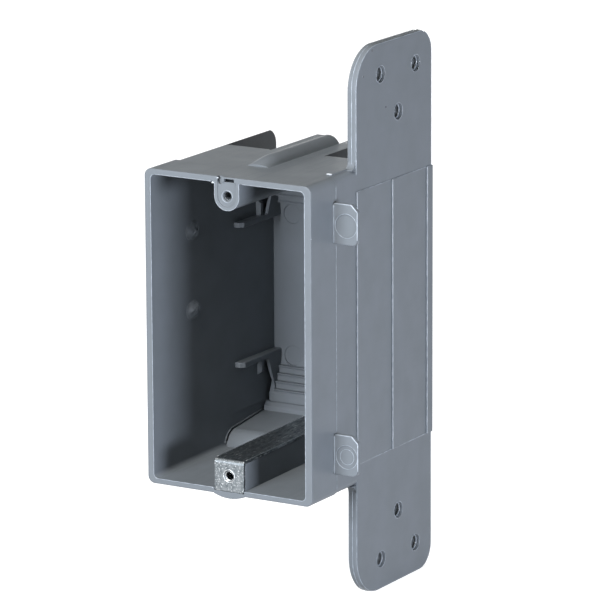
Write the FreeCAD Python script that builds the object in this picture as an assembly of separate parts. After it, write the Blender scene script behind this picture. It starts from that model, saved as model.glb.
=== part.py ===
import FreeCAD
import Part
import math
import os

# Single-gang device box of rigid plastic, moulded in one piece with its side mounting plate,
# and a bent steel strap that lies on the lower screw boss.
# Frame: X to the right, Y into the wall, Z up. The origin is midway between the two device
# screws, in the plane of the front rim. All lengths are in millimetres.

# Box outline
DEVICE_SCREW_PITCH = 83.34
SCREW_TO_END = 5.73
BOX_WIDTH = 56.2
BOX_DEPTH = 70.0
SIDE_RIM = 2.1
END_RIM = 1.6
BACK_WALL = 2.0
BACK_INSET = 0.4
INNER_DRAFT_DEG = 0.8
INNER_CORNER = 1.5
COLLAR_DEPTH = 14.3
COLLAR_CORNER = 2.2
COLLAR_EDGE = 0.35
STEP_LEFT = 1.3
STEP_RIGHT = 0.6
HOUSING_CORNER = 2.4
WALL_REAR_CORNER = 5.0

# Mounting plate on the right wall, with its nail holes and clapboard strips
PLATE_THICK = 3.2
PLATE_OVERHANG = 35.15
PLATE_WIDTH = 44.8
PLATE_BEHIND = 1.8
PLATE_FRONT_CORNER = 12.5
PLATE_REAR_CORNER = 7.0
PLATE_EDGE = 0.7
PLATE_INNER_EDGE = 0.5
NAIL_HOLE_RADIUS = 2.3
NAIL_HOLE_EDGE = 0.4
NAIL_PAIR_SPACING = 20.7
NAIL_PAIR_TO_END = 9.25
NAIL_ROW_PITCH = 12.7
NAIL_SHIFT = 2.05
STRIP_LAST_WIDTH = 3.2
STRIP_COUNT = 3
STRIP_HEIGHT = 0.4
STRIP_TO_END = 6.5
ROOT_RIB_WIDTH = 1.9
ROOT_RIB_INSET = 0.9
ROOT_RIB_LENGTH = 10.5
ROOT_RIB_HEIGHT = 0.35

# Stop ears that rest on the face of the stud
EAR_FACE_DEPTH = 12.7
EAR_REACH = 7.9
EAR_HEIGHT = 12.0
EAR_TO_END = 13.05
EAR_CHAMFER = 2.0
EAR_ROUND = 1.8
EAR_EDGE = 0.3
EAR_ROOT_RADIUS = 0.9
EAR_MARK_RADIUS = 3.5
EAR_MARK_SHIFT = 0.3
MARK_DEPTH = 0.2

# Upper device screw: lobe in the rim, hollow tunnel behind it and its ridge on the top wall
SCREW_HOLE_RADIUS = 1.4
LOBE_RADIUS = 4.1
RIDGE_HEIGHT = 2.35
TUNNEL_TO_REAR = 12.0
TUNNEL_WALL = 1.4
TUNNEL_PLUG = 12.0
RIDGE_START = 17.3
RIDGE_START_HEIGHT = 0.6
RIDGE_RISE_LENGTH = 9.0
LOBE_BORDER = 1.0
LOBE_RECESS = 0.3
GATE_SLOT_WIDTH = 3.4
GATE_SLOT_HEIGHT = 1.0
GATE_SLOT_OFFSET = 0.8
GATE_NOTCH_RADIUS = 0.75
GATE_NOTCH_OFFSET = 2.4
GATE_NOTCH_DEPTH = 1.3
GATE_DROP = 0.5
SCREW_HOLE_EASE = 0.3
SCREW_HOLE_EASE_DEPTH = 0.15

# Lower device screw: steel strap, the boss below it and the bulge under the rim
STRAP_WIDTH = 9.9
STRAP_THICK = 0.9
STRAP_ABOVE_SCREW = 4.97
STRAP_FACE_HEIGHT = 9.7
STRAP_TO_REAR = 18.0
STRAP_BEND = 1.3
STRAP_CORNER = 0.6
STRAP_HOLE_CHAMFER = 0.4
STRAP_SIDE_CLEARANCE = 0.1
BOSS_PLUG = 13.0
BOSS_CHAMFER = 0.6
BOSS_SIDE = 0.1
BOSS_CORE_WALL = 1.6
BOSS_HOLE_RADIUS = 2.1
BULGE_WIDTH = 10.6
BULGE_HEIGHT = 1.1

# Cable entries: shelf with a sprung flap, pocket outside it, toothed ramp behind it
COLUMN_HALF = 9.2
COLUMN_WALL = 1.5
COLUMN_ROOF_EXTRA = 0.2
COLUMN_TOP_TO_REAR = 3.0
POCKET_WALL = 1.4
FLAP_THICK = 1.3
FLAP_LENGTH = 23.1
FLAP_RISE = 1.75
FLAP_SLOT = 0.5
SHELF_RISE = 6.95
NOSE_RUN = 6.1
LIP_HEIGHT = 1.4
LIP_THICK = 1.4
LIP_SLOPE = 1.3
LIP_CLEARANCE = 0.35
RAMP_THROW = 4.9
RAMP_HEEL = 3.8
RAMP_RISE = 11.2
RAMP_WALL = 1.7
POCKET_ROOF = 1.2
TOOTH_COUNT = 4
TOOTH_PITCH = 2.27
TOOTH_START = 1.0
TOOTH_HEIGHT = 0.45
TOOTH_TIP = 0.3
BAR_LEVEL_UPPER = 21.1
BAR_LEVEL_LOWER = 20.4
BAR_THICK = 1.6
BAR_LENGTH = 22.4
BAR_INSET = 5.6
BAR_CHAMFER = 1.2
BAR_EDGE = 0.35
WEB_THICK = 1.5
WEB_TIP_THICK = 0.4
WEB_FLARE = 0.7
WEB_FLARE_MIDDLE = 0.3
WEB_LEAN = 2.5
WEB_TIP_LIFT = 2.0
GUSSET_REACH = 1.7
GUSSET_HEIGHT = 4.9
GUSSET_SLANT = 1.2
GUSSET_THICK = 1.2
GUSSET_AHEAD = 10.0
RECESS_LEDGE = 0.5

# Moulding marks
BACK_MARK_RADIUS = 3.0
BACK_MARK_INSET = 9.7
BACK_MARK_LEVELS = (21.8, -22.3)
DOME_RADIUS = 3.0
DOME_HEIGHT = 0.5
DOME_DEPTH = 22.8
DOME_LEVELS = (24.7, 0.6)

# How far cutting shapes run past a face, and how far added shapes sink into it
OVERRUN = 1.0
SINK = 0.5

# Worked-out places
SCREW_LEVEL = DEVICE_SCREW_PITCH / 2
HALF_WIDTH = BOX_WIDTH / 2
HALF_HEIGHT = SCREW_LEVEL + SCREW_TO_END
DRAFT = math.tan(math.radians(INNER_DRAFT_DEG))
BACK_INNER = BOX_DEPTH - BACK_INSET - BACK_WALL
BACK_OUTER = BOX_DEPTH - BACK_INSET
HOUSING_LEFT = -HALF_WIDTH + STEP_LEFT
HOUSING_RIGHT = HALF_WIDTH - STEP_RIGHT
PLATE_REAR = BOX_DEPTH + PLATE_BEHIND
PLATE_FRONT = PLATE_REAR - PLATE_WIDTH
STRIP_PITCH = (PLATE_WIDTH - STRIP_LAST_WIDTH) / (STRIP_COUNT - 1)
PLATE_INNER = HOUSING_RIGHT - PLATE_THICK
HALF_PLATE = HALF_HEIGHT + PLATE_OVERHANG
EAR_LEVEL = HALF_HEIGHT - EAR_TO_END
CROWN_LEVEL = HALF_HEIGHT + RIDGE_HEIGHT - LOBE_RADIUS
TUNNEL_LENGTH = BOX_DEPTH - TUNNEL_TO_REAR
STRAP_TOP = SCREW_LEVEL - STRAP_ABOVE_SCREW
STRAP_LENGTH = BOX_DEPTH - STRAP_TO_REAR
BAR_FROM_MIDDLE = HALF_WIDTH - BAR_INSET
POCKET_LEFT = -HOUSING_LEFT - POCKET_WALL
POCKET_RIGHT = PLATE_INNER
RAMP_FACE = BACK_INNER - RAMP_THROW
FLAP_TIP = RAMP_FACE - LIP_CLEARANCE
NOSE_START = FLAP_TIP - FLAP_LENGTH
SHELF_LEVEL = HALF_HEIGHT - SHELF_RISE
TIP_LEVEL = SHELF_LEVEL - FLAP_RISE
LIP_LEVEL = TIP_LEVEL - LIP_HEIGHT
RAMP_FOOT = TIP_LEVEL + FLAP_THICK / 2
RAMP_KNEE = LIP_LEVEL - RAMP_HEEL
RAMP_ROOT = RAMP_KNEE - RAMP_RISE
HEEL_LEVEL = LIP_LEVEL - LIP_SLOPE
POCKET_ROOT = RAMP_ROOT + RECESS_LEDGE
OUTSIDE = HALF_HEIGHT + RIDGE_HEIGHT + OVERRUN
BEYOND = PLATE_REAR + OVERRUN
RIDGE_HALF = math.sqrt(LOBE_RADIUS ** 2 - (LOBE_RADIUS - RIDGE_HEIGHT) ** 2)


def vector(x, y, z):
    return FreeCAD.Vector(x, y, z)


def wall_inner(depth):
    """Distance of the inner side wall from the middle, at a depth."""
    return HALF_WIDTH - SIDE_RIM - depth * DRAFT


def floor_inner(depth):
    """Distance of the inner top or bottom wall from the middle, at a depth."""
    return HALF_HEIGHT - END_RIM - depth * DRAFT


# Outlines and solids made from them
def closed_wire(path, place):
    """Wire through path points. An item (mid, end) is an arc to end through mid."""
    edges = []
    start = place(*path[0])
    first = start
    for item in path[1:]:
        if isinstance(item[0], tuple):
            middle = place(*item[0])
            end = place(*item[1])
            edges.append(Part.Arc(start, middle, end).toShape())
        else:
            end = place(*item)
            edges.append(Part.makeLine(start, end))
        start = end
    if start.distanceToPoint(first) > 1e-6:
        edges.append(Part.makeLine(start, first))
    return Part.Wire(edges)


def bar_along_x(path, x_low, x_high):
    """Solid with a (y, z) outline, from x_low to x_high."""
    wire = closed_wire(path, lambda y, z: vector(x_low, y, z))
    return Part.Face(wire).extrude(vector(x_high - x_low, 0, 0))


def bar_along_y(path, y_low, y_high):
    """Solid with an (x, z) outline, from y_low to y_high."""
    wire = closed_wire(path, lambda x, z: vector(x, y_low, z))
    return Part.Face(wire).extrude(vector(0, y_high - y_low, 0))


def bar_along_z(path, z_low, z_high):
    """Solid with an (x, y) outline, from z_low to z_high."""
    wire = closed_wire(path, lambda x, y: vector(x, y, z_low))
    return Part.Face(wire).extrude(vector(0, 0, z_high - z_low))


def block(x_low, x_high, y_low, y_high, z_low, z_high):
    return Part.makeBox(x_high - x_low, y_high - y_low, z_high - z_low, vector(x_low, y_low, z_low))


def rounded_path(low_a, high_a, low_b, high_b, radii):
    """Rectangle with rounded corners: radii at low-low, high-low, high-high and low-high."""
    bulge = 1 - math.sqrt(0.5)
    r_ll, r_hl, r_hh, r_lh = radii
    return [
        (low_a + r_ll, low_b),
        (high_a - r_hl, low_b),
        ((high_a - r_hl * bulge, low_b + r_hl * bulge), (high_a, low_b + r_hl)),
        (high_a, high_b - r_hh),
        ((high_a - r_hh * bulge, high_b - r_hh * bulge), (high_a - r_hh, high_b)),
        (low_a + r_lh, high_b),
        ((low_a + r_lh * bulge, high_b - r_lh * bulge), (low_a, high_b - r_lh)),
        (low_a, low_b + r_ll),
        ((low_a + r_ll * bulge, low_b + r_ll * bulge), (low_a + r_ll, low_b)),
    ]


def upside_down(shape):
    return shape.mirror(vector(0, 0, 0), vector(0, 0, 1))


def left_to_right(shape):
    return shape.mirror(vector(0, 0, 0), vector(1, 0, 0))


def in_four_corners(shape):
    """A shape made for the lower left entry, repeated for all four entries."""
    lower = [shape, left_to_right(shape)]
    return lower + [upside_down(item) for item in lower]


def edges_in_plane(shape, axis, level):
    """Edges that lie wholly at one level along an axis."""
    found = []
    for edge in shape.Edges:
        box = edge.BoundBox
        low, high = ((box.XMin, box.XMax), (box.YMin, box.YMax), (box.ZMin, box.ZMax))[axis]
        if abs(low - level) < 1e-4 and abs(high - level) < 1e-4:
            found.append(edge)
    return found


# Outside of the box
def collar():
    """Front band that carries the rim, wider than the housing behind it."""
    path = rounded_path(-HALF_WIDTH, HALF_WIDTH, -HALF_HEIGHT, HALF_HEIGHT, [COLLAR_CORNER] * 4)
    band = bar_along_y(path, 0, COLLAR_DEPTH)
    return band.makeFillet(COLLAR_EDGE, edges_in_plane(band, 1, 0))


def housing():
    """Block behind the collar. Its right face is the face of the mounting plate."""
    radii = [HOUSING_CORNER, COLLAR_CORNER, COLLAR_CORNER, HOUSING_CORNER]
    path = rounded_path(HOUSING_LEFT, HOUSING_RIGHT, -HALF_HEIGHT, HALF_HEIGHT, radii)
    return bar_along_y(path, COLLAR_DEPTH, BOX_DEPTH)


def wall_corner_cut():
    """What is cut off to round the upper rear corner of the left wall."""
    radius = WALL_REAR_CORNER
    mid = radius * math.sqrt(0.5)
    path = [
        (BOX_DEPTH - radius, HALF_HEIGHT),
        ((BOX_DEPTH - radius + mid, HALF_HEIGHT - radius + mid), (BOX_DEPTH, HALF_HEIGHT - radius)),
        (BEYOND, HALF_HEIGHT - radius),
        (BEYOND, OUTSIDE),
        (BOX_DEPTH - radius, OUTSIDE),
    ]
    return bar_along_x(path, HOUSING_LEFT - OVERRUN, -POCKET_LEFT)


def mounting_plate():
    """Flat plate with rounded corners that runs past the box above and below. Its face is eased round."""
    radii = [PLATE_FRONT_CORNER, PLATE_REAR_CORNER, PLATE_REAR_CORNER, PLATE_FRONT_CORNER]
    path = rounded_path(PLATE_FRONT, PLATE_REAR, -HALF_PLATE, HALF_PLATE, radii)
    plate = bar_along_x(path, PLATE_INNER, HOUSING_RIGHT)
    plate = plate.makeFillet(PLATE_EDGE, edges_in_plane(plate, 0, HOUSING_RIGHT))
    return plate.makeChamfer(PLATE_INNER_EDGE, edges_in_plane(plate, 0, PLATE_INNER))


def nail_hole(depth, level):
    """Round hole through the plate, with its edge eased on the outer face."""
    start = vector(PLATE_INNER - OVERRUN, depth, level)
    hole = Part.makeCylinder(NAIL_HOLE_RADIUS, PLATE_THICK + 2 * OVERRUN, start, vector(1, 0, 0))
    mouth = Part.makeCone(
        NAIL_HOLE_RADIUS,
        NAIL_HOLE_RADIUS + NAIL_HOLE_EDGE,
        NAIL_HOLE_EDGE,
        vector(HOUSING_RIGHT - NAIL_HOLE_EDGE, depth, level),
        vector(1, 0, 0),
    )
    return hole.fuse(mouth)


def nail_holes():
    """Three holes at each end of the plate: a pair and one nearer the box."""
    middle = PLATE_FRONT + PLATE_WIDTH / 2 + NAIL_SHIFT
    pair_level = HALF_PLATE - NAIL_PAIR_TO_END
    holes = []
    for side in (-1, 1):
        holes.append(nail_hole(middle - NAIL_PAIR_SPACING / 2, side * pair_level))
        holes.append(nail_hole(middle + NAIL_PAIR_SPACING / 2, side * pair_level))
        holes.append(nail_hole(middle, side * (pair_level - NAIL_ROW_PITCH)))
    return holes


def clapboard_strips():
    """Shallow strips on the plate's face, each highest at its front edge."""
    half = HALF_HEIGHT - STRIP_TO_END
    base = HOUSING_RIGHT - SINK
    strips = []
    for index in range(STRIP_COUNT):
        front = PLATE_FRONT + index * STRIP_PITCH
        rear = front + STRIP_PITCH
        path = [(base, front), (HOUSING_RIGHT + STRIP_HEIGHT, front), (HOUSING_RIGHT, rear), (base, rear)]
        strips.append(bar_along_z(path, -half, half))
    behind = block(PLATE_INNER, HALF_WIDTH + EAR_REACH, PLATE_REAR, PLATE_REAR + STRIP_PITCH, -half, half)
    return [strip.cut(behind) for strip in strips]


def root_rib():
    """Low rib on the top wall that runs forward from the root of the plate."""
    front = PLATE_FRONT - ROOT_RIB_LENGTH
    base = HALF_HEIGHT - SINK
    rear = PLATE_FRONT + SINK
    left = PLATE_INNER - ROOT_RIB_INSET
    path = [
        (front, base),
        (front + ROOT_RIB_HEIGHT, HALF_HEIGHT + ROOT_RIB_HEIGHT),
        (rear, HALF_HEIGHT + ROOT_RIB_HEIGHT),
        (rear, base),
    ]
    return bar_along_x(path, left, left + ROOT_RIB_WIDTH)


def stop_ear(level):
    """Tab that stands out from the collar and stops the box at the stud's face."""
    low = level - EAR_HEIGHT / 2
    high = level + EAR_HEIGHT / 2
    tip = HALF_WIDTH + EAR_REACH
    bulge = EAR_ROUND * (1 - math.sqrt(0.5))
    path = [
        (HALF_WIDTH - SINK, low),
        (tip - EAR_ROUND, low),
        ((tip - bulge, low + bulge), (tip, low + EAR_ROUND)),
        (tip, high - EAR_CHAMFER),
        (tip - EAR_CHAMFER, high),
        (HALF_WIDTH - SINK, high),
    ]
    tab = bar_along_y(path, EAR_FACE_DEPTH, COLLAR_DEPTH)
    rim = [edge for edge in edges_in_plane(tab, 1, EAR_FACE_DEPTH) if edge.BoundBox.XMax > HALF_WIDTH]
    tab = tab.makeFillet(EAR_EDGE, rim)
    arc_mid = EAR_ROOT_RADIUS * (1 - math.sqrt(0.5))
    root = [
        (HALF_WIDTH - SINK, EAR_FACE_DEPTH - EAR_ROOT_RADIUS),
        (HALF_WIDTH, EAR_FACE_DEPTH - EAR_ROOT_RADIUS),
        ((HALF_WIDTH + arc_mid, EAR_FACE_DEPTH - arc_mid), (HALF_WIDTH + EAR_ROOT_RADIUS, EAR_FACE_DEPTH)),
        (HALF_WIDTH + EAR_ROOT_RADIUS, EAR_FACE_DEPTH + EAR_EDGE),
        (HALF_WIDTH - SINK, EAR_FACE_DEPTH + EAR_EDGE),
    ]
    return tab.fuse(bar_along_z(root, low + EAR_EDGE, high - EAR_EDGE))


def ear_mark(level):
    """Shallow round ejector mark in the ear's face."""
    middle = HALF_WIDTH + EAR_REACH / 2 + EAR_MARK_SHIFT
    centre = vector(middle, EAR_FACE_DEPTH - OVERRUN, level - EAR_MARK_SHIFT)
    return Part.makeCylinder(EAR_MARK_RADIUS, OVERRUN + MARK_DEPTH, centre, vector(0, 1, 0))


# Upper screw tunnel
def lobe_path(radius, top_level):
    """Outline round the upper screw: a half circle below it and straight sides up to a level."""
    half = math.sqrt(0.5) * radius
    return [
        (-radius, SCREW_LEVEL),
        ((-half, SCREW_LEVEL - half), (0, SCREW_LEVEL - radius)),
        ((half, SCREW_LEVEL - half), (radius, SCREW_LEVEL)),
        (radius, top_level),
        (-radius, top_level),
    ]


def tunnel_path(radius):
    """Upright oblong that goes from the screw's round lower end up to the ridge's crown."""
    return [
        (-radius, SCREW_LEVEL),
        ((0, SCREW_LEVEL - radius), (radius, SCREW_LEVEL)),
        (radius, CROWN_LEVEL),
        ((0, CROWN_LEVEL + radius), (-radius, CROWN_LEVEL)),
    ]


def ridge_section(depth, height):
    """Cross-section of the ridge on the top wall: a low arch of one width, at a depth."""
    base = HALF_HEIGHT - END_RIM / 2
    crown = (0, HALF_HEIGHT + height)
    path = [(-RIDGE_HALF, base), (-RIDGE_HALF, HALF_HEIGHT), (crown, (RIDGE_HALF, HALF_HEIGHT)), (RIDGE_HALF, base)]
    return closed_wire(path, lambda x, z: vector(x, depth, z))


def screw_tunnel():
    """Lobe, tunnel below the top wall and the ridge above it, before it is hollowed."""
    lower = bar_along_y(lobe_path(LOBE_RADIUS, HALF_HEIGHT - END_RIM / 2), 0, TUNNEL_LENGTH)
    rise = RIDGE_HEIGHT - RIDGE_START_HEIGHT
    sections = []
    for share in (0, 1 / 3, 2 / 3, 1):
        depth = RIDGE_START + share * RIDGE_RISE_LENGTH
        height = RIDGE_HEIGHT - rise * (1 - share) ** 2
        sections.append(ridge_section(depth, height))
    front = Part.makeLoft(sections, True, False)
    crest_start = RIDGE_START + RIDGE_RISE_LENGTH
    run = vector(0, TUNNEL_LENGTH - crest_start, 0)
    rear = Part.Face(ridge_section(crest_start, RIDGE_HEIGHT)).extrude(run)
    return lower.fuse([front, rear])


def screw_hole_mouth(depth, level, ease, ease_depth):
    """Cone that eases the front end of a device screw hole."""
    wide = SCREW_HOLE_RADIUS + ease
    centre = vector(0, depth, level)
    return Part.makeCone(wide, SCREW_HOLE_RADIUS, ease_depth, centre, vector(0, 1, 0))


def screw_tunnel_bore():
    """Hollow of the tunnel, open at the rear, and the screw hole, slot and notch in its front."""
    hollow = bar_along_y(tunnel_path(LOBE_RADIUS - TUNNEL_WALL), TUNNEL_PLUG, TUNNEL_LENGTH + OVERRUN)
    reach = RIDGE_START + RIDGE_RISE_LENGTH + TUNNEL_WALL
    roof = block(-LOBE_RADIUS, LOBE_RADIUS, 0, reach, HALF_HEIGHT - END_RIM, OUTSIDE)
    hollow = hollow.cut(roof)
    front = vector(0, -OVERRUN, SCREW_LEVEL)
    hole = Part.makeCylinder(SCREW_HOLE_RADIUS, TUNNEL_PLUG + 2 * OVERRUN, front, vector(0, 1, 0))
    mouth = screw_hole_mouth(LOBE_RECESS, SCREW_LEVEL, SCREW_HOLE_EASE, SCREW_HOLE_EASE_DEPTH)
    slot_top = HALF_HEIGHT - GATE_DROP
    slot_low = slot_top - GATE_SLOT_HEIGHT
    left = GATE_SLOT_OFFSET - GATE_SLOT_WIDTH / 2
    rear = TUNNEL_PLUG + OVERRUN
    slot = block(left, left + GATE_SLOT_WIDTH, -OVERRUN, rear, slot_low, slot_top)
    face = bar_along_y(lobe_path(LOBE_RADIUS - LOBE_BORDER, slot_low), -OVERRUN, LOBE_RECESS)
    return [hollow, hole, mouth, slot, gate_notch(slot_low), face]


def gate_notch(low):
    """Notch with a round foot in the rim beside the slot."""
    left = -GATE_NOTCH_OFFSET - GATE_NOTCH_RADIUS
    right = -GATE_NOTCH_OFFSET + GATE_NOTCH_RADIUS
    foot = vector(-GATE_NOTCH_OFFSET, -OVERRUN, low)
    mouth = block(left, right, -OVERRUN, GATE_NOTCH_DEPTH, low, HALF_HEIGHT + OVERRUN)
    return mouth.fuse(Part.makeCylinder(GATE_NOTCH_RADIUS, GATE_NOTCH_DEPTH + OVERRUN, foot, vector(0, 1, 0)))


# Cable entries, drawn for the lower left one
def nose_mid(run, rise):
    """Point a third of the way along a quarter turn that rises steeply and then levels."""
    return (run * (1 - math.sqrt(0.5)), rise * math.sqrt(0.5))


def shelf_path():
    """Inner outline of the shelf: a round nose, a gently rising flap and its turned-up lip."""
    start_level = -floor_inner(NOSE_START)
    rise = -SHELF_LEVEL - start_level
    mid_y, mid_z = nose_mid(NOSE_RUN, rise)
    lip_front = FLAP_TIP - LIP_THICK
    return [
        (NOSE_START, -OUTSIDE),
        (NOSE_START, start_level),
        ((NOSE_START + mid_y, start_level + mid_z), (NOSE_START + NOSE_RUN, -SHELF_LEVEL)),
        (lip_front, -TIP_LEVEL),
        (lip_front, -LIP_LEVEL),
        (FLAP_TIP, -LIP_LEVEL + LIP_SLOPE),
        (FLAP_TIP, -OUTSIDE),
    ]


def ramp_lean(level):
    """How far the ramp's face lies behind its foot, at a level above the knee."""
    return max(0.0, RAMP_KNEE - level) * RAMP_THROW / RAMP_RISE


def ramp_path():
    """Outline of the ramp that leans forward from the back wall, with a row of stepped teeth."""
    path = [(RAMP_FACE, -OUTSIDE), (RAMP_FACE, -RAMP_KNEE)]
    for index in range(TOOTH_COUNT):
        level = RAMP_KNEE - TOOTH_START - index * TOOTH_PITCH
        tip = RAMP_FACE + ramp_lean(level) - TOOTH_HEIGHT
        path.append((RAMP_FACE + ramp_lean(level), -level - TOOTH_HEIGHT))
        path.append((tip, -level))
        path.append((tip, -level + TOOTH_TIP))
        path.append((RAMP_FACE + ramp_lean(level - TOOTH_PITCH), -level + TOOTH_TIP))
    path.append((BACK_INNER, -RAMP_ROOT))
    path.append((BEYOND, -RAMP_ROOT))
    path.append((BEYOND, -OUTSIDE))
    return path


def entry_solids():
    """What is left standing in the cavity at the lower left entry."""
    inner_side = -BAR_FROM_MIDDLE
    web_side = inner_side - WEB_THICK
    shelf = bar_along_x(shelf_path(), -HALF_WIDTH, 0)
    ramp = bar_along_x(ramp_path(), inner_side, 0)
    heel = block(-HALF_WIDTH, inner_side, RAMP_FACE, BEYOND, -OUTSIDE, -HEEL_LEVEL)
    cheek_path = [
        (RAMP_FACE, -OUTSIDE),
        (RAMP_FACE, -RAMP_KNEE),
        (BACK_INNER, -RAMP_ROOT),
        (BEYOND, -RAMP_ROOT),
        (BEYOND, -OUTSIDE),
    ]
    cheek = bar_along_x(cheek_path, web_side, inner_side)
    return [shelf, ramp, heel, cheek]


def pocket_path():
    """Outline of the pocket outside the flap, open to the rear below the ramp."""
    start = NOSE_START + FLAP_THICK
    level = -SHELF_LEVEL - FLAP_THICK
    low = -floor_inner(NOSE_START) - FLAP_THICK
    run = NOSE_RUN - FLAP_THICK
    mid_y, mid_z = nose_mid(run, level - low)
    roof = -HEEL_LEVEL - POCKET_ROOF
    return [
        (start, -OUTSIDE),
        (start, low),
        ((start + mid_y, low + mid_z), (start + run, level)),
        (FLAP_TIP, -TIP_LEVEL - FLAP_THICK),
        (FLAP_TIP, -RAMP_FOOT),
        (RAMP_FACE + RAMP_WALL, -RAMP_FOOT),
        (RAMP_FACE + RAMP_WALL, roof),
        (BEYOND, roof),
        (BEYOND, -OUTSIDE),
    ]


def ramp_back_path():
    """Outline of the hollow behind the ramp."""
    foot = -HEEL_LEVEL - POCKET_ROOF - SINK
    return [
        (RAMP_FACE + RAMP_WALL, foot),
        (RAMP_FACE + RAMP_WALL, -RAMP_KNEE - RECESS_LEDGE),
        (BACK_OUTER, -POCKET_ROOT),
        (BEYOND, -POCKET_ROOT),
        (BEYOND, foot),
    ]


def entry_cuts(side):
    """Pocket of the lower left entry out to a side wall, and the slots that free its flap."""
    cuts = [bar_along_x(pocket_path(), -side, -COLUMN_HALF)]
    cheek_side = -BAR_FROM_MIDDLE - WEB_THICK + POCKET_ROOF
    cuts.append(bar_along_x(ramp_back_path(), cheek_side, -COLUMN_HALF))
    start = NOSE_START + FLAP_SLOT
    top = -LIP_LEVEL + LIP_SLOPE
    for x_low in (-side, -COLUMN_HALF - FLAP_SLOT):
        cuts.append(block(x_low, x_low + FLAP_SLOT, start, FLAP_TIP, -OUTSIDE, top))
    cuts.append(block(-side, -COLUMN_HALF, FLAP_TIP, RAMP_FACE, -OUTSIDE, top))
    return cuts


def all_entry_cuts():
    """Pockets and slots of the four entries."""
    lower = entry_cuts(POCKET_LEFT) + [left_to_right(cut) for cut in entry_cuts(POCKET_RIGHT)]
    return lower + [upside_down(cut) for cut in lower]


def entry_bar(bar_level):
    """Bar along the side wall, with its free front corner cut off and its long edge eased."""
    root = wall_inner(NOSE_START) + SIDE_RIM / 2
    front = BACK_INNER - BAR_LENGTH
    rear = BACK_INNER + BACK_WALL / 2
    bar = [
        (-root, front),
        (-BAR_FROM_MIDDLE - BAR_CHAMFER, front),
        (-BAR_FROM_MIDDLE, front + BAR_CHAMFER),
        (-BAR_FROM_MIDDLE, rear),
        (-root, rear),
    ]
    solid = bar_along_z(bar, -bar_level - BAR_THICK, -bar_level)
    top_edges = [edge for edge in edges_in_plane(solid, 2, -bar_level) if edge.BoundBox.YMin < BACK_INNER - 1]
    eased = [edge for edge in top_edges if edge.BoundBox.XMax > -root + BAR_EDGE]
    return solid.makeFillet(BAR_EDGE, [edge for edge in eased if edge.BoundBox.XMin > -root - 1e-6])


def entry_web(bar_level):
    """Upright web from the bar to the ramp. Its front edge leans back and thins to a point."""
    base = -bar_level - BAR_THICK
    front = RAMP_FACE - WEB_LEAN
    overlap = BAR_THICK / 2
    tip_level = RAMP_KNEE - WEB_TIP_LIFT
    tip_depth = RAMP_FACE + ramp_lean(tip_level)
    flare_mid = WEB_FLARE * WEB_FLARE_MIDDLE
    profile = [
        (front - WEB_FLARE, base + overlap),
        (front - WEB_FLARE, base),
        ((front - flare_mid, base - flare_mid), (front, base - WEB_FLARE)),
        (tip_depth, -tip_level),
        (tip_depth + overlap, -tip_level),
        (BACK_INNER + overlap, base),
        (BACK_INNER + overlap, base + overlap),
    ]
    side = bar_along_x(profile, -BAR_FROM_MIDDLE - WEB_THICK, -BAR_FROM_MIDDLE)
    taper = [
        (-BAR_FROM_MIDDLE - WEB_THICK, base + overlap),
        (-BAR_FROM_MIDDLE - WEB_THICK, base),
        (-BAR_FROM_MIDDLE - WEB_TIP_THICK, -tip_level),
        (-BAR_FROM_MIDDLE, -tip_level),
        (-BAR_FROM_MIDDLE, base + overlap),
    ]
    return side.common(bar_along_y(taper, front - WEB_FLARE, BEYOND))


def entry_gusset(bar_level):
    """Small upright rib between the bar and the side wall, with a slanted end."""
    base = -bar_level - BAR_THICK
    rear = BACK_INNER - GUSSET_AHEAD + GUSSET_THICK
    wall = -wall_inner(rear)
    overlap = BAR_THICK / 2
    gusset = [
        (wall - overlap, base + overlap),
        (wall + GUSSET_REACH, base + overlap),
        (wall + GUSSET_REACH, base - GUSSET_HEIGHT + GUSSET_SLANT),
        (wall, base - GUSSET_HEIGHT),
        (wall - overlap, base - GUSSET_HEIGHT),
    ]
    return bar_along_y(gusset, rear - GUSSET_THICK, rear)


def entry_fittings():
    """Bar, web and gusset at each of the four entries."""
    fittings = []
    for bar_level, turn in ((BAR_LEVEL_LOWER, False), (BAR_LEVEL_UPPER, True)):
        for piece in (entry_bar(bar_level), entry_web(bar_level), entry_gusset(bar_level)):
            placed = upside_down(piece) if turn else piece
            fittings += [placed, left_to_right(placed)]
    return fittings


# Inside of the box
def cavity():
    """Drafted hollow of the box, without the four entries."""
    wires = []
    for depth in (0, BACK_INNER):
        side = wall_inner(depth)
        end = floor_inner(depth)
        path = rounded_path(-side, side, -end, end, [INNER_CORNER] * 4)
        wires.append(closed_wire(path, lambda x, z, y=depth: vector(x, y, z)))
    hollow = Part.makeLoft(wires, True, True)
    for solid in entry_solids():
        for copy in in_four_corners(solid):
            hollow = hollow.cut(copy)
    return hollow


def column_core():
    """Core of the lower column between two pockets, open to the rear."""
    path = [
        (NOSE_START + NOSE_RUN + FLAP_THICK, -HALF_HEIGHT + END_RIM),
        (NOSE_START + NOSE_RUN + FLAP_THICK, -SHELF_LEVEL - FLAP_THICK - COLUMN_ROOF_EXTRA),
        (FLAP_TIP, -TIP_LEVEL - FLAP_THICK),
        (RAMP_FACE + RAMP_WALL, -RAMP_KNEE - RECESS_LEDGE),
        (BACK_OUTER, -POCKET_ROOT),
        (BEYOND, -POCKET_ROOT),
        (BEYOND, -HALF_HEIGHT + END_RIM),
    ]
    half = COLUMN_HALF - COLUMN_WALL
    return bar_along_x(path, -half, half)


def top_notches():
    """Gap that the tunnel's core leaves in the top wall, and the shorter top of the upper column."""
    low = HALF_HEIGHT - END_RIM - SINK
    rear = BOX_DEPTH - COLUMN_TOP_TO_REAR
    gap = block(-RIDGE_HALF, RIDGE_HALF, TUNNEL_LENGTH, BEYOND, low, OUTSIDE)
    return [gap, block(-COLUMN_HALF, COLUMN_HALF, rear, BEYOND, low, OUTSIDE)]


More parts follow.
